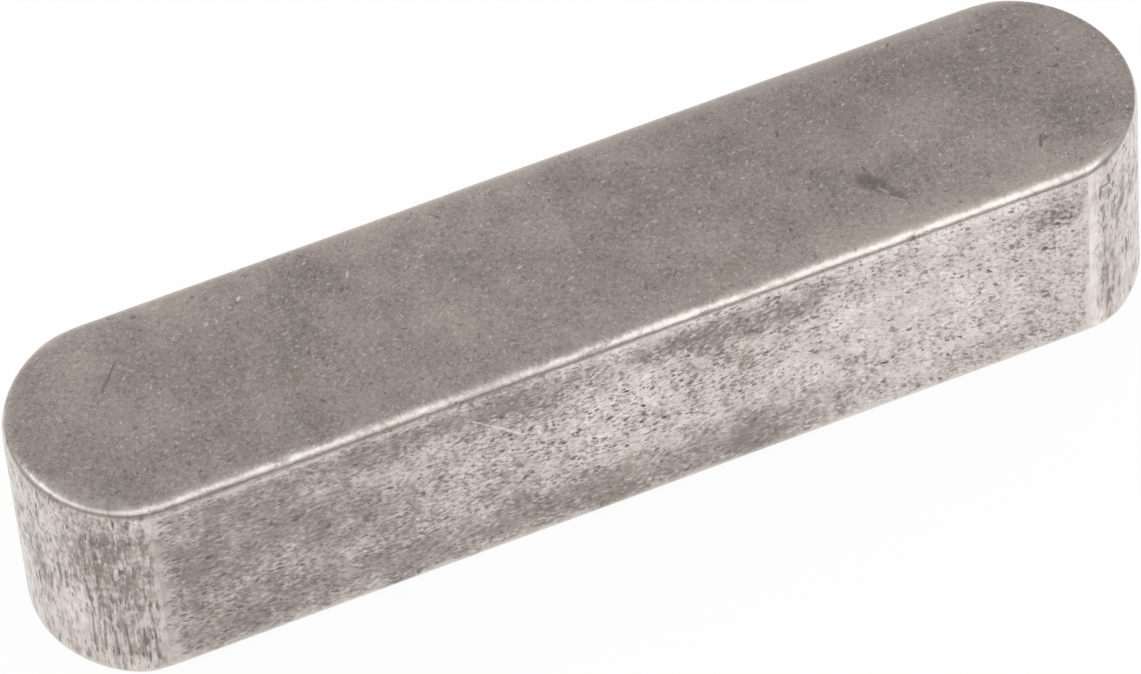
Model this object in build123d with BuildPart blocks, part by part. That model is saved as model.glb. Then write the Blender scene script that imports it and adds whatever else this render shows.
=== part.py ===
from build123d import *

import os

os.makedirs("parts", exist_ok=True)

# A parallel key with two round ends: a length of drawn square bar whose ends are milled
# round, so that it sits in a shaft's keyway and drives the hub around it. It is one piece.
#
# Frame: X along the key, Y across it, +Z up. The origin is the centre of the underside.

# Driving dimensions, in millimetres.
key_length = 28.0  # overall, over both round ends
key_width = 6.0
key_height = 6.0
bar_edge_radius = 0.4  # the four long edges, as the bar leaves the drawing die
end_radius_excess = 0.1  # by which the ends' radius is more than half of the width
corner_land_setback = 0.15  # from the corner of a side and an end to each edge of its land
top_rim_radius = 0.4  # on the ends' rims around the top face
bottom_rim_radius = 0.1  # on the ends' rims around the underside, which stay crisp

# Sizes that follow from them.
end_radius = key_width / 2 + end_radius_excess
bar_length = key_length + key_width  # the sawn bar, half a width too long at each end

with BuildPart() as parallel_key:
    # The milled form: both round ends at the finished length, with their rims rounded.
    with BuildSketch():
        SlotOverall(key_length, 2 * end_radius)
    extrude(amount=key_height)
    fillet(parallel_key.edges().group_by(Axis.Z)[-1], top_rim_radius)
    fillet(parallel_key.edges().group_by(Axis.Z)[0], bottom_rim_radius)

    # The drawn bar that it is cut from. Its flat sides meet the wider ends at a faint
    # corner, and the rounding of its long edges mitres with the rounding of the rims.
    with BuildSketch(Plane.YZ.offset(-bar_length / 2)):
        with Locations((0, key_height / 2)):
            RectangleRounded(key_width, key_height, bar_edge_radius)
    extrude(amount=bar_length, mode=Mode.INTERSECT)

    # Each of the four faint upright corners is taken off by a narrow land.
    with BuildSketch() as plan:
        SlotOverall(key_length, 2 * end_radius)
        Rectangle(bar_length, key_width, mode=Mode.INTERSECT)
        chamfer(plan.vertices(), corner_land_setback)
    extrude(amount=key_height, mode=Mode.INTERSECT)

parallel_key.part.label = "parallel_key"
export_step(parallel_key.part, "parts/parallel_key.step")
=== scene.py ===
import math

import bmesh
import bpy
import numpy as np
from mathutils import Matrix, Vector


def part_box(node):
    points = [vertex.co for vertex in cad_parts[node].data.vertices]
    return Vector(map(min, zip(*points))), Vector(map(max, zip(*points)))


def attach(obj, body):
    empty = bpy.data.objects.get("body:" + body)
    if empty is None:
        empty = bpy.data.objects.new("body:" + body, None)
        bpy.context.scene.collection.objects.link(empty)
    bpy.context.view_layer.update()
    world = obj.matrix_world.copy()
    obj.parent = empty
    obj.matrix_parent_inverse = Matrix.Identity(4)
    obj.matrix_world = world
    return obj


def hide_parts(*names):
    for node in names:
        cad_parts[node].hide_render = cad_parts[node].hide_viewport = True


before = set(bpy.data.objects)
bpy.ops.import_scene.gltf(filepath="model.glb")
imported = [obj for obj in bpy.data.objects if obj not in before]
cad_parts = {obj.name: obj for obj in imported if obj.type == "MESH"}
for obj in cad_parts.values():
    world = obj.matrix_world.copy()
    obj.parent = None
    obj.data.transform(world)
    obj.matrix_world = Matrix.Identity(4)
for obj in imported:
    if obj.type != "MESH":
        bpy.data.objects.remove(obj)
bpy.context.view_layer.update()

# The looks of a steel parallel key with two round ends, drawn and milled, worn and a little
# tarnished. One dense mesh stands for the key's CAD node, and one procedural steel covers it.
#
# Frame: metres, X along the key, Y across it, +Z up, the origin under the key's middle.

MM = 0.001

# --- The key's sizes ------------------------------------------------------------------------

node_low, node_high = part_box("parallel_key")
key_length = node_high.x - node_low.x
key_width = node_high.y - node_low.y
key_height = node_high.z - node_low.z
end_excess = 0.1 * MM  # how much more than half of the width the ends' radius is
end_radius = key_width / 2 + end_excess
edge_radius = 0.4 * MM  # the four long edges, and the ends' rims around the top
foot_radius = 0.1 * MM  # the ends' rims around the underside
corner_reach = 0.6 * MM  # how far an upright corner is softened to each side of it

end_centre = key_length / 2 - end_radius  # from the middle of the key to an end's axis
corner_angle = math.asin(key_width / 2 / end_radius)  # an upright corner, seen from that axis
corner_turn = math.pi / 2 - corner_angle  # how sharply the outline turns there

# --- The mesh's fineness --------------------------------------------------------------------

side_quads = 232  # along each long side
corner_quads = 8  # of these, the ones in the narrow band at each end of the side
corner_band = 0.35 * MM
end_quads = 142  # around each end
rim_quads = 11  # over the rounding of an edge
wall_quads = 86  # up the flat of the walls
cap_rings = 10  # from the outline to the middle of the top and of the underside
cap_crowding = 1.25  # above 1, these rings lie closer together near the outline
weld_reach = 0.002 * MM  # vertices closer than this are joined
sliver = 0.0002 * MM  # edges shorter than this are dropped

# --- Helpers for fields of numbers ----------------------------------------------------------


def smooth_step(low, high, value):
    """0 below low, 1 above high, and a smooth rise between them."""
    t = np.clip((np.asarray(value, float) - low) / (high - low), 0.0, 1.0)
    return t * t * (3.0 - 2.0 * t)


class SoftNoise:
    """A random field over a flat sheet that wraps round, with grains of a given size."""

    step = 0.04 * MM  # between the points of its grid

    def __init__(self, seed, length, height, grain_along, grain_up):
        rng = np.random.default_rng(seed)
        self.columns = max(8, round(length / self.step))
        self.rows = max(8, round(height / self.step))
        self.length = length
        self.height = height
        along = np.fft.fftfreq(self.columns, length / self.columns)
        up = np.fft.fftfreq(self.rows, height / self.rows)
        blur_along = np.exp(-2.0 * (math.pi * grain_along * along) ** 2)
        blur_up = np.exp(-2.0 * (math.pi * grain_up * up) ** 2)
        white = rng.standard_normal((self.rows, self.columns))
        field = np.fft.ifft2(np.fft.fft2(white) * blur_up[:, None] * blur_along[None, :]).real
        self.field = (field - field.mean()) / field.std()

    def __call__(self, along, up):
        """The field at these places, read between its grid points."""
        column = np.mod(along / self.length, 1.0) * self.columns
        row = np.mod(up / self.height, 1.0) * self.rows
        c0 = np.floor(column).astype(int)
        r0 = np.floor(row).astype(int)
        fc = column - c0
        fr = row - r0
        c0, c1 = c0 % self.columns, (c0 + 1) % self.columns
        r0, r1 = r0 % self.rows, (r0 + 1) % self.rows
        low = self.field[r0, c0] * (1 - fc) + self.field[r0, c1] * fc
        high = self.field[r1, c0] * (1 - fc) + self.field[r1, c1] * fc
        return low * (1 - fr) + high * fr


# --- The key's form -------------------------------------------------------------------------


def rounding(distance, radius):
    """How far a wall stands in at this distance from a face that it meets in a rounding."""
    reach = np.clip(radius - distance, 0.0, radius)
    return radius - np.sqrt(radius**2 - reach**2)


def wall_levels():
    """Heights of the wall's rows, close together where the edges are rounded."""
    turn = np.linspace(0.0, math.pi / 2, rim_quads + 1)
    foot = edge_radius * (1.0 - np.cos(turn))
    flat = np.linspace(edge_radius, key_height - edge_radius, wall_quads + 1)
    return np.concatenate([foot[:-1], flat, (key_height - foot[:-1])[::-1]])


def side_fractions():
    """Places along half a long side, from -1 to 1 and closer together near the corners."""
    half_length = key_length / 2
    band = corner_band / half_length
    tight = np.linspace(0.0, corner_band, corner_quads + 1)[:-1] / half_length
    middle = np.linspace(-1.0 + band, 1.0 - band, side_quads - 2 * corner_quads + 1)
    return np.concatenate([-1.0 + tight, middle, (1.0 - tight)[::-1]])


def outline(levels):
    """The key's plan at each height, counter-clockwise from the near left corner.

    Gives x and y, 1 on the ends and 0 on the sides, and the way to the nearest upright corner."""
    side_inset = rounding(levels, edge_radius) + rounding(key_height - levels, edge_radius)
    end_inset = rounding(levels, foot_radius) + rounding(key_height - levels, edge_radius)
    half_width = (key_width / 2 - side_inset)[:, None]
    radius = (end_radius - end_inset)[:, None]
    corner = np.arcsin(half_width / radius)
    corner_x = end_centre + radius * np.cos(corner)

    along = side_fractions()[None, :-1]
    around = np.linspace(-1.0, 1.0, end_quads + 1)[None, :-1]
    soft = math.tan(corner_turn / 2)

    def softening(distance):
        return soft * np.clip(corner_reach - distance, 0.0, None) ** 2 / (2.0 * corner_reach)

    side_gap = (1.0 - np.abs(along)) * corner_x
    end_gap = (1.0 - np.abs(around)) * corner * radius
    side_x = along * corner_x
    side_y = -(half_width - softening(side_gap))
    end_r = radius - softening(end_gap)
    end_x = end_centre + end_r * np.cos(around * corner)
    end_y = end_r * np.sin(around * corner)

    x = np.concatenate([side_x, end_x, -side_x, -end_x], axis=1)
    y = np.concatenate([side_y, end_y, -side_y, -end_y], axis=1)
    on_end = np.concatenate([np.zeros(side_quads), np.ones(end_quads)] * 2)
    gap = np.concatenate([side_gap, end_gap, side_gap, end_gap], axis=1)
    return x, y, on_end, gap


def key_grid():
    """The vertices of the key's skin, its faces, and what the finish needs to know of them:
    how many rows and columns the walls have, which columns are on the ends, and how far each
    place on the walls is from an upright corner."""
    levels = wall_levels()
    x, y, on_end, gap = outline(levels)
    rows, columns = x.shape
    wall = np.stack([x, y, np.broadcast_to(levels[:, None], x.shape)], axis=-1)

    spine_x = np.concatenate([
        side_fractions()[:-1] * end_centre,
        np.full(end_quads, end_centre),
        -side_fractions()[:-1] * end_centre,
        np.full(end_quads, -end_centre),
    ])
    share = np.linspace(0.0, 1.0, cap_rings + 1)[1:] ** cap_crowding

    def cap(rim):
        spine = np.stack([spine_x, np.zeros(columns), rim[:, 2]], axis=-1)
        return [rim * (1 - t) + spine * t for t in share]

    rings = cap(wall[0])[::-1] + list(wall) + cap(wall[-1])
    points = np.concatenate(rings)
    ring_count = len(rings)
    index = np.arange(ring_count * columns).reshape(ring_count, columns)

    around = np.roll(index, -1, axis=1)
    quads = np.stack([index[:-1], around[:-1], around[1:], index[1:]], axis=-1).reshape(-1, 4)
    return points, quads, rows, columns, on_end, gap


def perimeter_places(outline_xy):
    """The way round an outline from its first point to each, and the whole way round."""
    steps = np.linalg.norm(np.roll(outline_xy, -1, axis=0) - outline_xy, axis=1)
    return np.concatenate([[0.0], np.cumsum(steps)[:-1]]), steps.sum()


# --- The finish that the mesh carries -------------------------------------------------------

# How wide the smooth land beside each upright corner is, in millimetres. Where it is negative,
# the pitted field only thins out towards the corner. The near lands widen downwards.
side_land_near_left = 0.10
side_land_near_right = -0.16
side_land_near_right_wider = 0.28  # how much more of it there is at the foot
side_land_far_left = 0.04
side_land_far_right = 0.02
end_land_left = 0.10
end_land_right = 0.05
end_land_right_wider = 0.07
top_land = 0.20  # along the top edge
foot_land_side = 0.31  # and along the foot
foot_land_end = 0.12
field_border = 0.13  # how far the field's border fades

# The scale of each part of the relief, in millimetres.
pit_depth = 0.007
field_depth = 0.004
field_swell = 0.0012
rim_wear_depth = 0.0035
cap_wear_depth = 0.0006

# How tarnished each wall is before its patches: 0 is clean, and 1 is most tarnished.
near_side_tarnish = 0.28
far_side_tarnish = 0.32
left_end_tarnish = 0.37
right_end_tarnish = 0.08

# Tarnished and rubbed patches on the near long side, in millimetres: middle x and z, reach along x
# and z, and strength, which is negative where the metal is rubbed lighter. Besides these, the rows
# at z 5.9 dim the rim's highlight towards the left and brighten it on the right, the rows at z 5.6
# to 5.7 lighten or darken the band just under the rim, and the rows near z 1 darken a band along
# the foot.
near_side_patches = [
    (-10.4, 3.4, 2.2, 3.0, 0.46),
    (-8.6, 3.8, 1.4, 1.5, 0.42),
    (-9.6, 1.0, 2.2, 0.8, 0.28),
    (-6.6, 2.6, 1.8, 1.9, 0.22),
    (-6.3, 3.7, 1.9, 1.0, 0.30),
    (-5.6, 5.25, 2.6, 0.55, 0.60),
    (-3.1, 5.1, 1.3, 0.75, 0.66),
    (-4.2, 1.9, 1.4, 0.6, 0.15),
    (-5.6, 0.9, 3.2, 0.8, 0.60),
    (-3.4, 1.0, 1.8, 0.8, 0.30),
    (-0.5, 0.9, 1.9, 0.9, 0.85),
    (3.0, 0.95, 1.7, 0.8, 0.75),
    (7.0, 0.7, 1.5, 0.3, 0.25),
    (1.5, 5.2, 1.6, 0.5, 0.52),
    (2.0, 4.4, 1.0, 0.9, 0.40),
    (3.9, 4.8, 1.4, 0.4, 0.40),
    (2.4, 2.6, 0.5, 0.5, 0.25),
    (5.2, 3.1, 1.5, 1.4, -0.30),
    (-0.4, 3.4, 2.2, 1.2, -0.18),
    (8.0, 3.0, 2.8, 3.0, -0.35),
    (9.0, 5.6, 3.6, 0.20, -0.40),
    (10.5, 4.8, 0.9, 0.7, 0.30),
    (10.9, 1.7, 0.5, 0.9, -0.12),
    (-7.5, 5.66, 5.0, 0.12, -0.26),
    (-3.4, 5.90, 4.0, 0.07, 0.40),
    (-10.0, 5.90, 2.0, 0.07, -0.08),
    (2.6, 5.90, 2.0, 0.07, -0.14),
    (3.4, 5.66, 5.0, 0.12, -0.60),
    (-9.2, 5.68, 1.2, 0.10, -0.20),
    (-11.3, 5.3, 0.7, 0.6, 0.16),
    (-7.6, 3.5, 1.5, 1.1, 0.14),
    (-3.8, 3.4, 0.8, 0.6, 0.14),
    (0.8, 3.4, 0.8, 0.6, 0.12),
    (0.8, 1.3, 0.8, 0.9, 0.15),
    (2.2, 1.6, 0.8, 0.5, -0.14),
    (3.6, 3.6, 0.8, 0.7, -0.10),
    (5.2, 3.0, 0.8, 0.6, 0.10),
    (9.0, 5.25, 1.4, 0.3, 0.16),
    (0.6, 2.6, 0.6, 0.4, -0.16),
    (-8.2, 1.6, 1.0, 0.7, -0.14),
    (-2.2, 5.5, 0.7, 0.4, 0.14),
    (-2.2, 4.2, 0.6, 0.4, 0.10),
    (3.7, 5.62, 0.8, 0.12, -0.16),
    (9.6, 3.8, 0.9, 0.8, 0.08),
    (10.9, 1.7, 0.5, 0.7, -0.10),
    (11.3, 1.7, 0.35, 0.7, -0.20),
    (-8.2, 5.60, 0.7, 0.12, 0.20),
    (-9.8, 5.60, 0.6, 0.12, -0.14),
    (-0.2, 5.60, 1.4, 0.12, -0.16),
    (-2.3, 0.45, 0.6, 0.14, 0.34),
    (8.8, 0.45, 1.4, 0.10, -0.16),
    (0.7, 3.1, 0.6, 0.3, 0.12),
    (5.2, 3.2, 0.6, 0.3, 0.12),
    (8.2, 2.7, 0.6, 0.4, 0.12),
    (-3.7, 3.2, 0.6, 0.3, 0.10),
]

# The same on the two round ends, by y instead of x.
left_end_patches = [
    (-2.5, 4.1, 0.8, 1.4, 0.66),
    (-2.6, 1.8, 0.4, 1.5, 0.30),
    (-2.9, 0.8, 0.4, 0.5, 0.30),
    (-1.7, 1.8, 0.5, 1.2, -0.45),
    (-1.1, 5.0, 0.9, 0.5, -0.25),
    (-0.8, 3.0, 0.3, 3.0, 0.22),
    (0.5, 2.6, 0.8, 3.2, -0.30),
    (1.9, 3.6, 1.0, 1.6, 0.35),
    # These two brighten and dim the left end's rim highlight: brighter about y -1.3, dimmer near
    # the corner.
    (-1.3, 5.88, 0.8, 0.09, -0.55),
    (-2.35, 5.88, 0.40, 0.09, 0.60),
]
right_end_patches = [
    (-2.82, 1.4, 0.12, 1.6, 0.50),
    (-2.84, 4.4, 0.10, 1.2, 0.32),
    (-2.45, 4.3, 0.3, 1.2, 0.34),
    (-1.2, 4.0, 0.4, 1.6, 0.10),
    (0.4, 2.6, 1.2, 2.4, -0.25),
    (2.2, 1.8, 0.9, 1.3, 0.30),
]

# How strong the grain of the near long side is beside the rest: middle x and z, reach, strength.
near_side_grain = [
    (-0.4, 3.7, 3.8, 1.3, 0.42),
    (-4.5, 3.6, 2.4, 1.0, 0.12),
    (3.4, 4.9, 2.6, 0.8, 0.18),
    (-1.5, 1.3, 3.6, 0.7, -0.10),
    (8.0, 3.6, 4.0, 3.5, 0.12),
    (10.3, 4.8, 1.2, 0.8, 0.30),
    (-9.6, 1.8, 2.0, 1.0, 0.22),
    (-6.0, 2.1, 1.2, 0.7, 0.26),
    (-1.5, 2.3, 1.4, 0.8, 0.22),
    (1.5, 2.2, 1.5, 0.7, 0.18),
    (3.8, 2.9, 0.8, 0.5, 0.22),
    (2.5, 1.0, 2.0, 0.5, -0.22),
    (3.0, 4.75, 1.2, 0.4, -0.14),
    (-5.5, 4.0, 1.4, 0.4, -0.22),
    (11.0, 5.3, 1.0, 0.5, -0.20),
    (6.2, 1.75, 1.0, 0.4, 0.24),
    (6.8, 3.4, 1.0, 0.9, -0.18),
    (5.2, 4.2, 0.8, 0.5, 0.14),
    (8.4, 2.5, 0.9, 0.6, 0.20),
    (-11.2, 2.7, 0.7, 1.4, 0.14),
]


def patch_field(x, z, patches):
    """The sum of soft round patches, at these places."""
    total = np.zeros_like(x)
    for middle_x, middle_z, reach_x, reach_z, strength in patches:
        away = ((x / MM - middle_x) / reach_x) ** 2 + ((z / MM - middle_z) / reach_z) ** 2
        total += strength * np.exp(-away * 1.2)
    return total


def add_attribute(mesh, name, values):
    """Stores one number a vertex, for the steel to read."""
    made = mesh.attributes.new(name, "FLOAT", "POINT")
    made.data.foreach_set("value", np.asarray(values, np.float32).ravel())


class Places:
    """Where the vertices of the key's skin are, with one value a vertex in each array."""

    def __init__(self, points, rows, columns, on_end, gap):
        shape = (len(points) // columns, columns)
        wall = slice(cap_rings, cap_rings + rows)
        middle_outline = points.reshape(*shape, 3)[cap_rings + rows // 2, :, :2]
        way_round, self.girth = perimeter_places(middle_outline)
        self.along = np.broadcast_to(way_round, shape).ravel()
        self.x, self.y, self.height = points.T

        on_wall = np.zeros(shape)
        on_wall[wall] = 1.0
        self.on_wall = on_wall.ravel()
        self.on_end = np.broadcast_to(on_end, shape).ravel()

        corner_gap = np.zeros(shape)
        corner_gap[:cap_rings] = gap[0]
        corner_gap[wall] = gap
        corner_gap[cap_rings + rows:] = gap[-1]
        self.corner_gap = corner_gap.ravel()

        self.left = self.x < 0.0
        self.near = self.y < 0.0
        self.end = self.on_end > 0.5
        self.waver = self.noise(11, 0.16, 0.10)

    def noise(self, seed, grain_along, grain_up):
        """A soft noise over the walls, with grains of this size in millimetres."""
        field = SoftNoise(seed, self.girth, key_height, grain_along * MM, grain_up * MM)
        return field(self.along, self.height)


def pitted_field(at):
    """1 on the pitted field of each wall. It stops short of the edges, which are rubbed smooth."""
    wider_below = smooth_step(5.5 * MM, 0.8 * MM, at.height)
    broad_foot = smooth_step(3.0 * MM, 1.4 * MM, at.height)
    near_right_land = side_land_near_right + side_land_near_right_wider * broad_foot
    near_side_land = np.where(at.left, side_land_near_left * wider_below, near_right_land)
    far_side_land = np.where(at.left, side_land_far_left, side_land_far_right)
    side_land = np.where(at.near, near_side_land, far_side_land)
    near_end_land = np.where(at.x > 0.0, end_land_right + end_land_right_wider * broad_foot,
                             end_land_left * wider_below)
    end_land = np.where(at.y > 0.0, 0.0, near_end_land)
    land = np.where(at.end, end_land, side_land) * MM

    foot_land = np.where(at.end, foot_land_end, foot_land_side) * MM
    from_top = np.clip(key_height - at.height - top_land * MM, 0.0, None)
    from_foot = np.clip(at.height - foot_land, 0.0, None)
    from_land = np.clip(at.corner_gap - land, 0.0, None)
    nearest = np.minimum(from_top, from_foot)

    # The field's own corners are rounded, and its border is ragged.
    near_side_right = (at.x > 0.0) & at.near & (at.on_end < 0.5)
    bend = np.where(near_side_right, 0.45, 0.22) * MM
    level_gap = np.clip(bend - nearest, 0.0, None)
    upright_gap = np.clip(bend - from_land, 0.0, None)
    inside = bend - np.hypot(level_gap, upright_gap)
    ragged = np.where(at.left & at.near, 0.055, 0.03) * MM * at.waver
    return at.on_wall * smooth_step(0.0, field_border * MM, inside + ragged)


def relief_depth(at, field):
    """How far each place is pressed in, in metres: pits, a shallow swell, and a worn rim."""
    sides_pits = at.noise(21, 0.10, 0.06)
    ends_pits = at.noise(22, 0.055, 0.22)
    swell = at.noise(23, 0.9, 0.5)
    pits = np.where(at.end, ends_pits, sides_pits)
    pitting = pit_depth * MM * smooth_step(0.7, 2.2, pits) * field
    depth = pitting + field * (field_depth + field_swell * np.clip(swell, -2, 2)) * MM

    # The rounding of the top edge is worn a little unevenly.
    edge_wear = at.noise(24, 0.9, 0.22)
    below_top = key_height - at.height
    under_top = smooth_step(0.0, 0.16 * MM, below_top)
    on_rim = under_top * smooth_step(0.60 * MM, 0.30 * MM, below_top)
    depth = depth + at.on_wall * on_rim * rim_wear_depth * MM * (1 + np.clip(edge_wear, -1, 2))

    cap_swell = SoftNoise(31, key_length, key_width, 0.8 * MM, 0.6 * MM)(at.x, at.y)
    return depth + (1 - at.on_wall) * cap_wear_depth * MM * (2 + np.clip(cap_swell, -2, 2))


def tarnish_of(at):
    """How tarnished each place is: 1 where it is most, and under 0 where it is rubbed bright."""
    mottle = at.noise(41, 0.55, 0.4)
    blotch = at.noise(42, 1.6, 0.9)
    near_side = at.near & (at.on_end < 0.5)
    placed = np.select(
        [near_side, at.end & at.left, at.end],
        [near_side_tarnish + patch_field(at.x, at.height, near_side_patches),
         left_end_tarnish + patch_field(at.y, at.height, left_end_patches),
         right_end_tarnish + patch_field(at.y, at.height, right_end_patches)],
        far_side_tarnish + 0.28 * blotch,
    )
    # The upright corners are rubbed bright, most of all the near right one, except on the near
    # side's left, where the corner is a little darker.
    near_rub = np.where(at.x > 0.0, 0.54, np.where(at.end, 0.06, -0.12))
    rub = np.where(at.near, near_rub, 0.25)
    rub_reach = np.where(at.end, 0.31, 0.06) * MM + 0.04 * MM * at.waver
    rubbed = rub * (1.0 - smooth_step(-0.07 * MM, 0.13 * MM, at.corner_gap - rub_reach))
    return np.clip(placed + 0.11 * mottle - rubbed, -1.0, 1.0)


def grain_of(at):
    """How strong the close grain of each place is."""
    near_side = at.near & (at.on_end < 0.5)
    return np.where(near_side, 0.90 + patch_field(at.x, at.height, near_side_grain), 1.0)


def matte_of(at):
    """How far each place is above the lower limit of the top's matte finish, in millimetres.

    The finish reaches less far down the rim on the near side. It covers the underside too."""
    near_reach = 0.112
    further_away = 0.11  # how much further it reaches on the walls that are turned away
    less_at_left = 0.035  # and how much less on the front of the left end
    facing = np.where(at.end, at.y / end_radius, np.sign(at.y))
    turned_away = np.where(at.x > 0.0, smooth_step(-0.93, -0.60, facing),
                           smooth_step(-0.45, 0.3, facing))
    front_share = smooth_step(-0.15, -0.45, facing) * smooth_step(0.94, 0.78, -facing)
    left_end_front = np.where(at.left, front_share, 0.0)
    reach = near_reach + further_away * turned_away - less_at_left * at.on_end * left_end_front
    reach = reach * MM
    on_wall = at.on_wall > 0.5
    above = np.where(on_wall, at.height - key_height + reach, MM)
    below = np.where(on_wall, -MM, MM)
    return np.where(at.height > key_height / 2, above, below) / MM


def mesh_of(points, quads):
    """A mesh of these vertices and four-sided faces."""
    mesh = bpy.data.meshes.new("parallel_key_skin")
    mesh.vertices.add(len(points))
    mesh.vertices.foreach_set("co", points.astype(np.float32).ravel())
    mesh.loops.add(quads.size)
    mesh.loops.foreach_set("vertex_index", quads.astype(np.int32).ravel())
    mesh.polygons.add(len(quads))
    mesh.polygons.foreach_set("loop_start", np.arange(0, quads.size, 4, dtype=np.int32))
    mesh.update(calc_edges=True)
    return mesh


def press_in(mesh, points, depth):
    """Moves each vertex inwards, against its normal."""
    normals = np.empty(len(points) * 3, np.float32)
    mesh.vertex_normals.foreach_get("vector", normals)
    pressed = points - normals.reshape(-1, 3) * depth[:, None]
    mesh.vertices.foreach_set("co", pressed.astype(np.float32).ravel())


def build_key():
    """The key's mesh, with its relief pressed in and its finish stored on it."""
    points, quads, rows, columns, on_end, gap = key_grid()
    at = Places(points, rows, columns, on_end, gap)
    field = pitted_field(at)
    mesh = mesh_of(points, quads)
    press_in(mesh, points, relief_depth(at, field))
    add_attribute(mesh, "field", field)
    add_attribute(mesh, "on_end", at.on_end * at.on_wall)
    add_attribute(mesh, "tarnish", tarnish_of(at))
    add_attribute(mesh, "grain", grain_of(at))
    add_attribute(mesh, "matte", matte_of(at))
    weld_spine(mesh)
    mesh.polygons.foreach_set("use_smooth", np.ones(len(mesh.polygons), bool))
    mesh.update()
    return mesh


def weld_spine(mesh):
    """Joins the two halves of each cap along its middle line, and drops what has no area."""
    work = bmesh.new()
    work.from_mesh(mesh)
    bmesh.ops.remove_doubles(work, verts=work.verts, dist=weld_reach)
    bmesh.ops.dissolve_degenerate(work, edges=work.edges, dist=sliver)
    bmesh.ops.recalc_face_normals(work, faces=work.faces)
    work.to_mesh(mesh)
    work.free()


# --- Steel ----------------------------------------------------------------------------------


class Nodes:
    """Short ways to add nodes to a tree and to link them."""

    def __init__(self, tree):
        self.tree = tree

    def put(self, socket, value):
        """Links a socket to another one, or sets its value."""
        if isinstance(value, bpy.types.NodeSocket):
            self.tree.links.new(value, socket)
        else:
            socket.default_value = value

    def math(self, operation, *values):
        """The result of a math node."""
        node = self.tree.nodes.new("ShaderNodeMath")
        node.operation = operation
        for socket, value in zip(node.inputs, values):
            self.put(socket, value)
        return node.outputs[0]

    def step(self, value, low, high, to_low=0.0, to_high=1.0):
        """A smooth rise from to_low at low to to_high at high."""
        node = self.tree.nodes.new("ShaderNodeMapRange")
        node.interpolation_type = "SMOOTHSTEP"
        for socket, given in zip(node.inputs, (value, low, high, to_low, to_high)):
            self.put(socket, given)
        return node.outputs[0]

    def mix(self, factor, low, high):
        """A colour from low to high."""
        node = self.tree.nodes.new("ShaderNodeMix")
        node.data_type = "RGBA"
        self.put(node.inputs[0], factor)
        self.put(node.inputs[6], low)
        self.put(node.inputs[7], high)
        return node.outputs[2]

    def blend(self, factor, low, high):
        """A number from low to high."""
        node = self.tree.nodes.new("ShaderNodeMix")
        node.data_type = "FLOAT"
        self.put(node.inputs[0], factor)
        self.put(node.inputs[2], low)
        self.put(node.inputs[3], high)
        return node.outputs[0]

    def attribute(self, name):
        """A number that the mesh carries."""
        node = self.tree.nodes.new("ShaderNodeAttribute")
        node.attribute_name = name
        return node.outputs["Fac"]

    def times(self, first, second):
        """Two numbers multiplied."""
        return self.math("MULTIPLY", first, second)

    def either(self, first, second):
        """The greater of two numbers."""
        return self.math("MAXIMUM", first, second)

    def centred(self, value):
        """A number that runs from 0 to 1, made to run from -0.5 to 0.5."""
        return self.math("SUBTRACT", value, 0.5)

    def scaled(self, vector, factor):
        """A vector with each part multiplied by the same number."""
        return self.vector_math("MULTIPLY", vector, (factor, factor, factor)).outputs[0]

    def vector_math(self, operation, first, second):
        """A vector math node."""
        node = self.tree.nodes.new("ShaderNodeVectorMath")
        node.operation = operation
        self.put(node.inputs[0], first)
        self.put(node.inputs[1], second)
        return node

    def split(self, vector):
        """The three parts of a vector."""
        node = self.tree.nodes.new("ShaderNodeSeparateXYZ")
        self.tree.links.new(vector, node.inputs[0])
        return node.outputs

    def join(self, x, y):
        """A vector of two parts, with nothing in the third."""
        node = self.tree.nodes.new("ShaderNodeCombineXYZ")
        self.put(node.inputs[0], x)
        self.put(node.inputs[1], y)
        return node.outputs[0]

    def turned(self, plane, degrees, stretch_along, stretch_across):
        """A plane whose pattern is turned by an angle and stretched along it and across it."""
        turn = math.radians(degrees)
        along = (math.cos(turn) / stretch_along, math.sin(turn) / stretch_along, 0.0)
        across = (-math.sin(turn) / stretch_across, math.cos(turn) / stretch_across, 0.0)
        return self.join(self.vector_math("DOT_PRODUCT", plane, along).outputs["Value"],
                         self.vector_math("DOT_PRODUCT", plane, across).outputs["Value"])

    def warped(self, plane, scale, amount):
        """The same place, shaken by a noise of this scale."""
        node = self.tree.nodes.new("ShaderNodeTexNoise")
        node.noise_dimensions = "2D"
        self.put(node.inputs["Vector"], plane)
        node.inputs["Scale"].default_value = scale
        centred = self.vector_math("SUBTRACT", node.outputs["Color"], (0.5, 0.5, 0.5)).outputs[0]
        shake = self.vector_math("MULTIPLY", centred, (amount, amount, 0.0)).outputs[0]
        return self.vector_math("ADD", plane, shake).outputs[0]

    def specks(self, plane, scale, share, largest, edge=0.14):
        """Separate spots in a share of random cells, each of its own size and strength."""
        node = self.tree.nodes.new("ShaderNodeTexVoronoi")
        node.voronoi_dimensions = "2D"
        self.put(node.inputs["Vector"], plane)
        node.inputs["Scale"].default_value = scale
        random = self.tree.nodes.new("ShaderNodeSeparateColor")
        self.tree.links.new(node.outputs["Color"], random.inputs[0])
        size = self.math("MULTIPLY_ADD", random.outputs[0], -largest / share, largest)
        inside = self.math("SUBTRACT", size, node.outputs["Distance"])
        strength = self.math("MULTIPLY_ADD", random.outputs[1], 0.7, 0.3)
        return self.times(self.step(inside, 0.0, edge), strength)

    def stroke(self, place, start, end, half_width):
        """A mark along a straight line from start to end, soft at its sides."""
        along = Vector(end) - Vector(start)
        away = self.vector_math("SUBTRACT", place, start).outputs[0]
        reach = self.vector_math("DOT_PRODUCT", away, tuple(along / along.length_squared))
        share = self.math("MINIMUM", self.either(reach.outputs["Value"], 0.0), 1.0)
        nearest = self.vector_math("SCALE", tuple(along), (0.0, 0.0, 0.0))
        self.put(nearest.inputs["Scale"], share)
        gap = self.vector_math("DISTANCE", away, nearest.outputs[0]).outputs["Value"]
        return self.step(gap, half_width * 1.35, half_width * 0.35)

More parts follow.
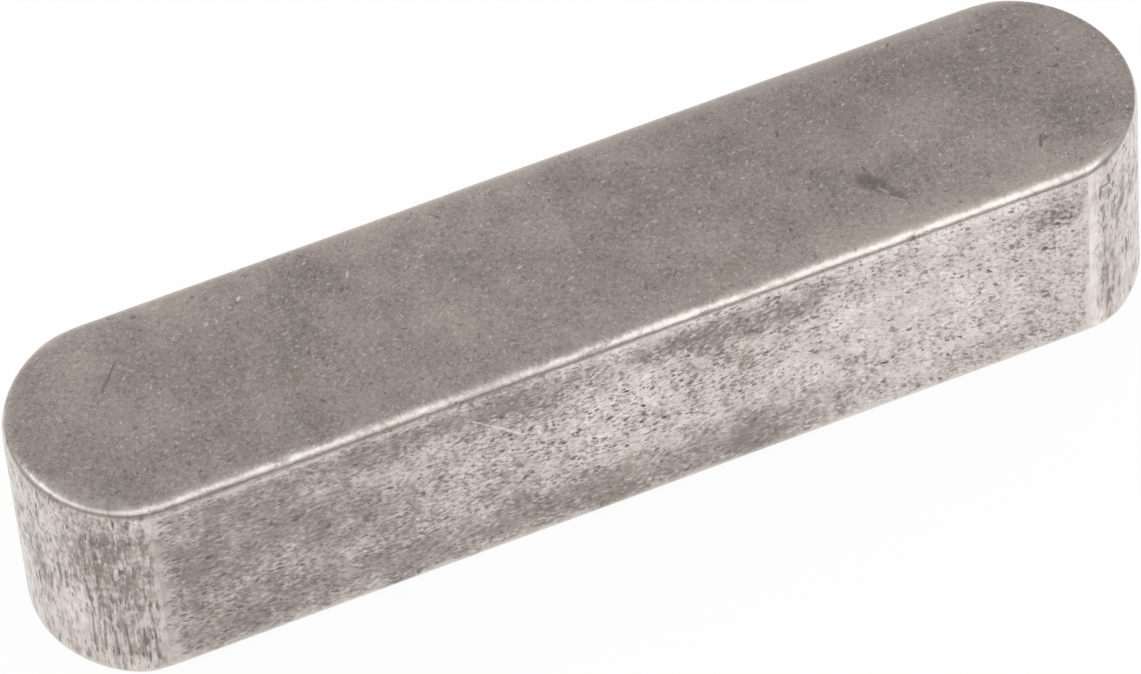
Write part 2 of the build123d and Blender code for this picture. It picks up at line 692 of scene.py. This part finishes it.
    def noise(self, plane, scale, detail=2.0, roughness=0.5, distortion=0.0):
        """A noise from 0 to 1, mostly near its middle."""
        node = self.tree.nodes.new("ShaderNodeTexNoise")
        node.noise_dimensions = "2D"
        self.put(node.inputs["Vector"], plane)
        node.inputs["Scale"].default_value = scale
        node.inputs["Detail"].default_value = detail
        node.inputs["Roughness"].default_value = roughness
        node.inputs["Distortion"].default_value = distortion
        return node.outputs["Fac"]


def on_right_end(y, z):
    """A place on the right end's wall, in millimetres."""
    radius = end_radius / MM
    return (end_centre / MM + math.sqrt(radius**2 - y**2), y, z)


def on_left_end(y, z):
    """A place on the left end's wall, in millimetres."""
    x, y, z = on_right_end(y, z)
    return (-x, y, z)


# Marks on the key, as start, end and half width in millimetres, and strength. They lie on the
# top, on the near side and on the two ends.
top_z = key_height / MM
near_y = -key_width / 2 / MM
dark_marks = [
    ((-10.84, 1.42, top_z), (-11.15, 1.06, top_z), 0.030, 0.55),
    ((-11.13, 1.10, top_z), (-11.43, 0.72, top_z), 0.045, 0.42),
    ((1.00, -1.84, top_z), (1.06, -1.76, top_z), 0.045, 0.40),
    ((5.58, 1.08, top_z), (5.62, 1.22, top_z), 0.045, 0.60),
    ((10.98, -1.84, top_z), (11.10, -1.56, top_z), 0.050, 0.58),
    ((11.06, -1.70, top_z), (11.36, -1.62, top_z), 0.040, 0.45),
    ((11.22, -1.84, top_z), (11.30, -1.78, top_z), 0.040, 0.40),
    ((6.85, -1.03, top_z), (7.13, -1.37, top_z), 0.25, 0.50),
    ((7.11, -1.31, top_z), (7.47, -1.89, top_z), 0.17, 0.40),
    (on_right_end(-2.79, 5.30), on_right_end(-2.77, 5.02), 0.060, 0.75),
    (on_right_end(-2.77, 5.00), on_right_end(-2.89, 5.08), 0.035, 0.65),
    (on_right_end(-2.89, 5.06), on_right_end(-2.90, 4.66), 0.035, 0.60),
    (on_right_end(-2.63, 3.62), on_right_end(-2.64, 3.08), 0.035, 0.60),
    (on_right_end(-2.84, 3.20), on_right_end(-2.85, 2.60), 0.035, 0.45),
    (on_right_end(-2.81, 2.08), on_right_end(-2.82, 1.40), 0.055, 0.40),
    (on_right_end(-2.80, 1.20), on_right_end(-2.84, 0.55), 0.045, 0.60),
    (on_left_end(-2.11, 2.02), on_left_end(-2.06, 0.80), 0.034, 0.62),
    (on_left_end(-2.28, 2.75), on_left_end(-2.25, 1.85), 0.034, 0.56),
    (on_left_end(-2.31, 1.85), on_left_end(-2.27, 0.75), 0.034, 0.62),
    (on_left_end(-2.46, 1.58), on_left_end(-2.44, 0.65), 0.036, 0.62),
    (on_left_end(-2.62, 1.70), on_left_end(-2.63, 0.70), 0.040, 0.62),
    (on_left_end(-2.81, 1.74), on_left_end(-2.81, 1.10), 0.040, 0.70),
    (on_left_end(-2.91, 1.95), on_left_end(-2.90, 0.57), 0.032, 0.62),
    (on_left_end(-1.63, 3.20), on_left_end(-1.60, 2.58), 0.032, 0.75),
    (on_left_end(-1.50, 3.84), on_left_end(-1.47, 2.75), 0.028, 0.60),
    (on_left_end(-2.05, 3.25), on_left_end(-2.16, 2.10), 0.032, 0.60),
    (on_left_end(-1.01, 5.20), on_left_end(-1.01, 4.40), 0.032, 0.62),
]
light_marks = [
    ((-7.60, 1.95, top_z), (-7.56, 1.97, top_z), 0.055, 1.00),
    ((-8.56, 1.55, top_z), (-8.52, 1.57, top_z), 0.050, 0.75),
    ((-5.07, 1.49, top_z), (-5.00, 1.62, top_z), 0.035, 0.75),
    ((-3.34, 1.31, top_z), (-3.26, 1.33, top_z), 0.035, 0.70),
    ((-1.40, 0.01, top_z), (-1.34, 0.03, top_z), 0.040, 0.70),
    ((7.05, -1.39, top_z), (7.19, -1.59, top_z), 0.040, 0.35),
    ((7.23, -1.77, top_z), (7.45, -1.99, top_z), 0.035, 0.35),
    ((-3.86, near_y, 5.02), (-3.20, near_y, 4.44), 0.030, 0.50),
    ((-3.26, near_y, 4.50), (-2.66, near_y, 3.92), 0.036, 0.62),
    (on_left_end(-1.98, 2.95), on_left_end(-1.92, 1.60), 0.050, 0.40),
    (on_left_end(-1.18, 5.05), on_left_end(-1.22, 4.70), 0.060, 0.50),
    (on_left_end(-1.42, 4.55), on_left_end(-1.44, 4.20), 0.060, 0.50),
]
stains = [
    ((-0.20, near_y, 1.72), (-0.17, near_y, 1.15), 0.10, 0.50),
    ((-0.62, near_y, 0.75), (-0.58, near_y, 0.40), 0.08, 0.40),
    ((2.78, -2.22, top_z), (3.02, -2.16, top_z), 0.24, 0.30),
    ((-7.26, -0.87, top_z), (-7.14, -0.83, top_z), 0.10, 0.35),
    ((-2.76, near_y, 0.35), (-2.64, near_y, 0.38), 0.20, 0.28),
    ((-0.70, near_y, 0.60), (-0.50, near_y, 0.66), 0.22, 0.25),
    ((-10.45, near_y, 1.45), (-10.35, near_y, 1.55), 0.25, 0.15),
    ((2.82, near_y, 3.86), (2.98, near_y, 3.94), 0.22, 0.15),
    (on_right_end(-2.50, 4.30), on_right_end(-2.50, 3.75), 0.09, 0.62),
    (on_right_end(-2.62, 3.95), on_right_end(-2.60, 3.75), 0.07, 0.45),
]

# Wide soft shades on the top, in the same form.
dark_shades = [
    ((-7.1, -2.3, top_z), (-6.9, 0.3, top_z), 0.90, 1.00),
]
light_shades = [
    ((-5.2, 0.5, top_z), (-4.8, 1.8, top_z), 0.80, 1.00),
    ((-9.3, 0.4, top_z), (-8.9, 0.7, top_z), 0.60, 1.00),
    ((6.6, -0.2, top_z), (9.0, 0.3, top_z), 0.70, 0.60),
]

# Colours of the steel: red, green, blue and alpha, all linear.
clean = (0.678, 0.617, 0.575, 1.0)
bright = (0.865, 0.81, 0.765, 1.0)
# A whiter colour painted on the rim's band where the soft box's highlight falls: a painted
# highlight.
painted_highlight_white = (0.708, 0.660, 0.623, 1.0)
dull = (0.273, 0.236, 0.211, 1.0)
oxide = (0.13, 0.110, 0.096, 1.0)
rusty = (0.36, 0.265, 0.195, 1.0)
top_dark = (0.236, 0.208, 0.189, 1.0)
top_light = (0.664, 0.583, 0.531, 1.0)
top_violet = (0.29, 0.247, 0.264, 1.0)


def marked(n, place, marks):
    """How strongly any of these marks covers a place."""
    covered = None
    for start, end, half_width, strength in marks:
        one = n.times(n.stroke(place, start, end, half_width), strength)
        covered = one if covered is None else n.either(covered, one)
    return covered


class Skin:
    """What the steel's nodes know of a place on the key, with lengths in millimetres."""

    def __init__(self, n):
        place = n.tree.nodes.new("ShaderNodeTexCoord").outputs["Object"]
        self.mm = n.scaled(place, 1.0 / MM)
        self.x, self.y, self.z = n.split(self.mm)
        self.on_end = n.attribute("on_end")
        self.field = n.attribute("field")
        self.tarnish = n.attribute("tarnish")
        self.grain = n.attribute("grain")
        self.matte = n.attribute("matte")
        self.wall = self.wall_plane(n)
        self.drawn = self.drawn_plane(n)
        self.milled = self.milled_plane(n)

    def wall_plane(self, n):
        """Flat coordinates on the walls: the way along them, and the height. The shifts keep
        the patterns of the four walls apart."""
        side_shift = 80.0
        end_shift = 40.0
        outwards = n.math("SUBTRACT", n.math("ABSOLUTE", self.x), end_centre / MM)
        angle = n.math("ARCTAN2", self.y, outwards)
        # The right end's grain is coarser than the left end's.
        around = n.times(angle, n.step(self.x, -1.0, 1.0, 3.1, 2.3))
        around = n.math("MULTIPLY_ADD", n.math("SIGN", self.x), end_shift, around)
        along = n.math("MULTIPLY_ADD", n.math("SIGN", self.y), side_shift, self.x)
        return n.join(n.blend(self.on_end, along, around), self.z)

    def drawn_plane(self, n):
        """The walls' plane for grain drawn out along the key: longer towards the left, and
        rounder, coarser and dipping towards the right."""
        along, height, _ = n.split(self.wall)
        right = n.either(n.math("SUBTRACT", self.x, 2.0), 0.0)
        left = n.math("MINIMUM", n.math("ADD", self.x, 3.0), 0.0)
        right = n.times(right, right)
        left = n.times(left, left)
        dip = n.math("MULTIPLY_ADD", self.x, 0.045, n.times(right, 0.016))
        bowed = n.math("MULTIPLY_ADD", left, 0.003, n.times(right, 0.007))
        drawn_along = n.math("MULTIPLY_ADD", along, 1.0 / 1.45, bowed)
        across = n.step(self.x, 0.0, 6.0, 1.0 / 0.88, 1.0 / 0.98)
        return n.join(drawn_along, n.times(n.math("ADD", height, dip), across))

    def milled_plane(self, n):
        """The walls' plane for the upright grain of the ends, which is shorter higher up."""
        along, height, _ = n.split(self.wall)
        shorter = n.times(n.times(height, height), 0.012)
        upwards = n.math("MULTIPLY_ADD", height, 1.0 / 4.4, shorter)
        return n.join(n.times(along, 1.0 / 0.80), upwards)


def matte_share(n, skin):
    """1 on the top's matte finish, which runs over the upper part of its rim and frays out."""
    fray_reach = n.step(skin.x, -11.0, 4.0, 0.26, 0.10)
    frayed = n.times(n.centred(n.noise(skin.mm, 7.0, 4.0, 0.75)), fray_reach)
    waver = n.times(n.centred(n.noise(skin.mm, 1.3, 3.0, 0.6)), 0.14)
    edge = n.math("ADD", n.math("ADD", skin.matte, frayed), waver)
    softness = n.step(skin.x, -7.0, 5.0, 0.10, 0.07)
    return n.step(edge, -0.01, softness)


def dark_pits(n, skin):
    """Small dark pits: short and along the key on the sides, upright streaks on the ends."""
    crowd = n.step(n.noise(skin.wall, 2.4, 3.0, 0.6), 0.38, 0.58, 0.35, 1.0)
    shaken = n.warped(skin.drawn, 9.0, 0.13)
    middling = n.times(n.specks(shaken, 5.8, 0.95, 0.42, 0.12), 0.92)
    small = n.specks(shaken, 9.8, 0.95, 0.46, 0.15)
    small = n.times(small, n.step(skin.x, 1.0, 8.0, 0.85, 0.65))
    large = n.specks(n.warped(skin.drawn, 6.0, 0.22), 3.6, 0.75, 0.28, 0.09)
    large = n.times(large, n.step(skin.x, -8.0, 0.0, 0.65, 1.0))
    side = n.either(n.either(middling, small), large)
    streaks = n.warped(skin.milled, 4.0, 0.20)
    fine_streaks = n.times(n.specks(streaks, 10.0, 0.8, 0.46), 0.85)
    end = n.either(n.specks(streaks, 5.5, 0.7, 0.42, 0.11), fine_streaks)
    return n.times(n.times(n.blend(skin.on_end, side, end), crowd), skin.field)


def painted_glint_flecks(n, skin):
    """Small bright flecks between the pits: painted glints of the metal's tiny facets."""
    side = n.specks(n.warped(skin.drawn, 6.0, 0.2), 6.4, 0.8, 0.40, 0.12)
    side = n.times(side, n.step(skin.x, -9.0, -2.0, 0.55, 1.0))
    end = n.specks(n.warped(skin.milled, 5.0, 0.2), 6.0, 0.8, 0.42, 0.10)
    return n.times(n.blend(skin.on_end, side, end), skin.field)


def wall_mottle(n, skin):
    """The close mottle of the walls, from 0 to 1."""
    side = n.noise(skin.drawn, 8.5, 3.0, 0.68)
    streaky = n.noise(skin.milled, 5.4, 4.0, 0.72)
    crumbly = n.noise(skin.wall, 4.6, 4.0, 0.68)
    crumbled = n.step(skin.z, 1.5, 4.0, 0.22, 0.40)
    return n.blend(skin.on_end, side, n.blend(crumbled, streaky, crumbly))


def wall_wear(n, skin, mottle):
    """How worn or tarnished the wall is: under 0 where it is rubbed, and past 1 where it is
    darkest. On the sides the close mottle is busier in some places than in others."""
    drift = n.centred(n.noise(skin.wall, 1.6, 4.0, 0.62))
    close = n.times(n.centred(mottle), n.blend(skin.on_end, 2.6, 4.85))
    slow = n.times(drift, n.blend(skin.on_end, 1.7, 0.9))
    patchy = n.step(n.noise(skin.wall, 1.5, 2.0, 0.5), 0.38, 0.62, 0.70, 1.28)
    close = n.times(close, n.blend(skin.on_end, patchy, 1.0))
    swing = n.times(n.math("ADD", close, slow), skin.grain)
    calm = n.blend(skin.on_end, 0.62, 0.90)
    swing = n.times(swing, n.step(skin.tarnish, 0.25, 1.0, 1.0, calm))
    swing = n.times(swing, n.blend(skin.field, 0.45, 1.0))
    level = n.math("SUBTRACT", skin.tarnish, n.blend(skin.field, 0.30, 0.08))
    return n.math("ADD", level, swing)


def wall_colour(n, skin, wear, pits):
    """The walls' colour: clean metal to dull, with bright flecks that are painted glints, dark
    pits, brown streaks, and a painted highlight on the rim.

    It wanders a little between greenish and pinkish."""
    # Painted highlight: the rim's band where the highlight falls gets a whiter colour.
    base = n.mix(n.step(skin.matte, -0.080, -0.030), clean, painted_highlight_white)
    wall = n.mix(n.step(wear, -0.25, n.blend(skin.on_end, 1.15, 1.42)), base, dull)
    wall = n.mix(n.step(wear, -0.15, -0.95), wall, bright)
    # Painted glints: bright flecks between the pits.
    wall = n.mix(n.times(n.times(painted_glint_flecks(n, skin), skin.grain), 0.50), wall, bright)
    wall = n.mix(n.times(n.times(pits, skin.grain), 0.92), wall, oxide)
    browned = n.step(n.noise(skin.milled, 2.6, 3.0, 0.6), 0.55, 0.70)
    browned = n.times(n.times(browned, skin.on_end), skin.field)
    wall = n.mix(n.times(browned, 0.20), wall, rusty)
    hue = n.times(n.centred(n.noise(skin.wall, 2.0, 3.0, 0.6)), n.blend(skin.on_end, 0.030, 0.065))
    tint = n.vector_math("ADD", n.join(0.0, hue), (1.0, 1.0, 1.0)).outputs[0]
    return n.vector_math("MULTIPLY", wall, tint).outputs[0]


def rim_dirt_and_painted_shade(n, skin):
    """Darkening along the lower part of the near rim, higher up and thicker towards the left:
    partly dirt, partly painted shade that deepens the dark line the rim reflects under its
    highlight.
    """
    ragged = n.times(n.centred(n.noise(skin.mm, 6.0, 4.0, 0.7)), 0.07)
    height = n.math("ADD", skin.z, ragged)
    top = n.step(skin.x, 2.0, -1.0, 5.79, 5.865)
    over = n.step(n.math("SUBTRACT", height, top), 0.015, -0.025)
    bottom = n.step(skin.x, 0.0, -5.0, 5.70, 5.65)
    under = n.step(n.math("SUBTRACT", height, bottom), 0.0, 0.06)
    near = n.step(skin.y, -2.4, -2.8)
    amount = n.step(skin.x, 2.0, -1.0, 0.19, 0.26)
    return n.times(n.times(n.times(over, under), near), amount)


def top_colour(n, skin, grain):
    """The top and the underside: a matte grain with light dashes and dark dots, and a painted
    reflection that lightens the top towards its far rim.
    """
    cloud = n.times(n.centred(n.noise(skin.mm, 0.4, 5.0, 0.70)), 0.54)
    near_edge = n.times(n.step(skin.y, -1.7, -2.8), n.step(skin.x, -6.0, 9.0, 0.03, 0.16))
    # Painted reflection: the top lightens towards its far rim, most towards the right, where the
    # rim reflects the white backdrop.
    painted_far_rim_reflection = n.step(skin.y, 2.35, 2.8, 0.0, n.step(skin.x, -8.0, 12.0, 0.16, 0.44))
    painted_far_edge_reflection = n.math("ADD", n.step(skin.y, 1.7, 2.5, 0.0, 0.055), painted_far_rim_reflection)
    shade = n.math("ADD", n.math("MULTIPLY_ADD", n.centred(grain), 0.92, cloud),
                   n.math("ADD", near_edge, painted_far_edge_reflection))
    shade = n.math("ADD", shade, n.times(marked(n, skin.mm, light_shades), 0.05))
    shade = n.math("SUBTRACT", shade, n.times(marked(n, skin.mm, dark_shades), 0.06))
    top = n.mix(n.step(shade, -0.38, 0.38), top_dark, top_light)
    violet = n.times(n.step(skin.x, -1.0, 4.0), n.step(skin.y, -1.0, 1.4))
    top = n.mix(n.times(violet, 0.20), top, top_violet)
    sparks = n.step(n.noise(skin.mm, 8.0, 3.0, 0.6, 2.5), 0.58, 0.70)
    top = n.mix(n.times(sparks, 0.30), top, clean)
    curled = n.warped(n.turned(skin.mm, 20.0, 1.15, 0.70), 3.0, 0.35)
    long_dashes = n.specks(curled, 5.0, 0.50, 0.24, 0.07)
    short_dashes = n.specks(curled, 8.5, 0.7, 0.30, 0.10)
    top = n.mix(n.times(n.either(long_dashes, short_dashes), 0.62), top, bright)
    dots = n.specks(n.warped(skin.mm, 5.0, 0.3), 4.3, 0.6, 0.24, 0.08)
    return n.mix(n.times(dots, 0.50), top, oxide)


def steel():
    """Drawn and milled steel: rubbed bright at its edges, pitted and tarnished in its fields."""
    material = bpy.data.materials.new("steel")
    material.use_nodes = True
    tree = material.node_tree
    shader = tree.nodes["Principled BSDF"]
    n = Nodes(tree)
    skin = Skin(n)

    on_top = matte_share(n, skin)
    grain = n.noise(skin.mm, 9.0, 4.0, 0.85, 0.8)
    mottle = wall_mottle(n, skin)
    pits = dark_pits(n, skin)
    wear = wall_wear(n, skin, mottle)

    wall = wall_colour(n, skin, wear, pits)
    # Partly dirt, partly painted shade: this darkens the dark line under the near rim's highlight.
    wall = n.mix(rim_dirt_and_painted_shade(n, skin), wall, oxide)
    colour = n.mix(on_top, wall, top_colour(n, skin, grain))
    ragged = n.warped(skin.mm, 5.0, 0.07)
    colour = n.mix(marked(n, ragged, stains), colour, rusty)
    colour = n.mix(marked(n, ragged, dark_marks), colour, oxide)
    colour = n.mix(marked(n, ragged, light_marks), colour, bright)
    n.put(shader.inputs["Base Color"], colour)

    rubbed_roughness = 0.19
    top_roughness = 0.46
    field_roughness = n.step(wear, 0.0, 1.0, 0.26, 0.42)
    wall_roughness = n.blend(skin.field, rubbed_roughness, field_roughness)
    n.put(shader.inputs["Roughness"], n.blend(on_top, wall_roughness, top_roughness))
    shader.inputs["Metallic"].default_value = 1.0

    bump = tree.nodes.new("ShaderNodeBump")
    bump.inputs["Strength"].default_value = 1.0
    bump.inputs["Distance"].default_value = 0.006 * MM
    relief = n.math("SUBTRACT", n.times(mottle, n.blend(skin.field, 1.0, 0.7)), pits)
    n.put(bump.inputs["Height"], n.blend(on_top, relief, n.times(grain, 0.6)))
    n.put(shader.inputs["Normal"], bump.outputs["Normal"])
    return material


# --- The studio -----------------------------------------------------------------------------


def seen_directly(n):
    """1 for what the camera, metal and glass see directly, and 0 for what lights a surface."""
    path = n.tree.nodes.new("ShaderNodeLightPath").outputs
    on_metal = n.either(path["Is Camera Ray"], path["Is Glossy Ray"])
    return n.either(on_metal, path["Is Transmission Ray"])


def add_floor():
    """A round pale floor that shows white and keeps a faint shadow of the key."""
    floor_radius = 30 * MM
    floor_height = -0.001 * MM  # just under the key, so that the two don't touch
    corners = 96
    glow_share = 0.93  # the rest of what is seen is the floor's own white, with the shadow
    ring = [
        (floor_radius * math.cos(2 * math.pi * k / corners),
         floor_radius * math.sin(2 * math.pi * k / corners), floor_height)
        for k in range(corners)
    ]
    mesh = bpy.data.meshes.new("floor")
    mesh.from_pydata(ring, [], [tuple(range(corners))])
    floor = bpy.data.objects.new("floor", mesh)
    bpy.context.scene.collection.objects.link(floor)

    material = bpy.data.materials.new("floor_white")
    material.use_nodes = True
    tree = material.node_tree
    tree.nodes.clear()
    n = Nodes(tree)
    seen = seen_directly(n)
    matte = tree.nodes.new("ShaderNodeBsdfDiffuse")
    matte.inputs["Color"].default_value = (0.95, 0.95, 0.95, 1.0)
    glow = tree.nodes.new("ShaderNodeEmission")
    glow.inputs["Color"].default_value = (1.0, 1.0, 1.0, 1.0)
    glow.inputs["Strength"].default_value = 1.0
    mixed = tree.nodes.new("ShaderNodeMixShader")
    n.put(mixed.inputs[0], n.times(seen, glow_share))
    tree.links.new(matte.outputs[0], mixed.inputs[1])
    tree.links.new(glow.outputs[0], mixed.inputs[2])
    out = tree.nodes.new("ShaderNodeOutputMaterial")
    tree.links.new(mixed.outputs[0], out.inputs["Surface"])
    material.cycles.emission_sampling = "NONE"
    mesh.materials.append(material)


def add_world():
    """White to the camera, a soft studio to the metal, and an even light to the rest."""
    horizon_level = 0.49  # how bright the metal sees the low band around it
    box_level = 1.47  # and the large soft box in front of it, above that band
    zenith_level = 0.62
    even_level = 1.0

    world = bpy.data.worlds.new("studio")
    bpy.context.scene.world = world
    world.use_nodes = True
    tree = world.node_tree
    tree.nodes.clear()
    n = Nodes(tree)
    path = tree.nodes.new("ShaderNodeLightPath").outputs
    x, y, z = n.split(tree.nodes.new("ShaderNodeTexCoord").outputs["Generated"])

    # The azimuth is measured from straight in front of the key, and grows to the right.
    azimuth = n.math("ARCTAN2", x, n.times(y, -1.0))
    sky = n.step(z, -0.1, 0.35, 1.0, zenith_level)

    behind = n.step(n.math("ABSOLUTE", azimuth), math.radians(140), math.radians(160))
    band = n.times(n.step(z, -0.40, -0.20), n.step(z, 0.24, 0.11))
    band = n.times(band, n.math("SUBTRACT", 1.0, behind))
    level = n.blend(band, sky, horizon_level)

    box_top = n.step(azimuth, math.radians(-80), math.radians(10), 0.55, 0.88)
    upper = n.step(z, n.math("ADD", box_top, 0.12), n.math("SUBTRACT", box_top, 0.22))
    lower = n.step(z, 0.15, 0.38)
    left = n.step(azimuth, math.radians(-155), math.radians(-120))
    right = n.step(azimuth, math.radians(70), math.radians(36))
    box = n.times(n.times(upper, lower), n.times(left, right))
    level = n.blend(box, level, box_level)

    seen_white = n.either(path["Is Camera Ray"], path["Is Transmission Ray"])
    strength = n.blend(path["Is Glossy Ray"], even_level, level)
    strength = n.blend(seen_white, strength, 1.0)
    back = tree.nodes.new("ShaderNodeBackground")
    back.inputs["Color"].default_value = (1.0, 1.0, 1.0, 1.0)
    n.put(back.inputs["Strength"], strength)
    out = tree.nodes.new("ShaderNodeOutputWorld")
    tree.links.new(back.outputs[0], out.inputs["Surface"])
    world.cycles.sampling_method = "NONE"


def add_camera():
    """The camera: long, from the near left and well above, and tilted a little."""
    turn = math.radians(-18.90)
    climb = math.radians(50.28)
    roll = math.radians(-5.19)
    distance = 34.49 * key_width
    aside = 0.0444 * key_width
    above = 0.02428 * key_width

    back = Vector((math.sin(turn) * math.cos(climb),
                   -math.cos(turn) * math.cos(climb),
                   math.sin(climb)))
    level = Vector((math.cos(turn), math.sin(turn), 0.0))
    upright = back.cross(level)
    right = math.cos(roll) * level + math.sin(roll) * upright
    up = math.cos(roll) * upright - math.sin(roll) * level

    data = bpy.data.cameras.new("camera")
    data.sensor_width = 36.0
    data.lens = 280.0
    data.clip_start = 0.005
    data.clip_end = 5.0
    camera = bpy.data.objects.new("camera", data)
    bpy.context.scene.collection.objects.link(camera)
    target = Vector((0.0, 0.0, key_height / 2))
    place = target + distance * back - aside * right - above * up
    facing = Matrix((right, up, back)).transposed().to_4x4()
    camera.matrix_world = Matrix.Translation(place) @ facing
    bpy.context.scene.camera = camera


# --- The scene ------------------------------------------------------------------------------

key = bpy.data.objects.new("parallel_key_skin", build_key())
bpy.context.scene.collection.objects.link(key)
key.data.materials.append(steel())
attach(key, "root")
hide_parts("parallel_key")

add_floor()
add_world()
add_camera()
bpy.context.scene.view_settings.view_transform = "Standard"
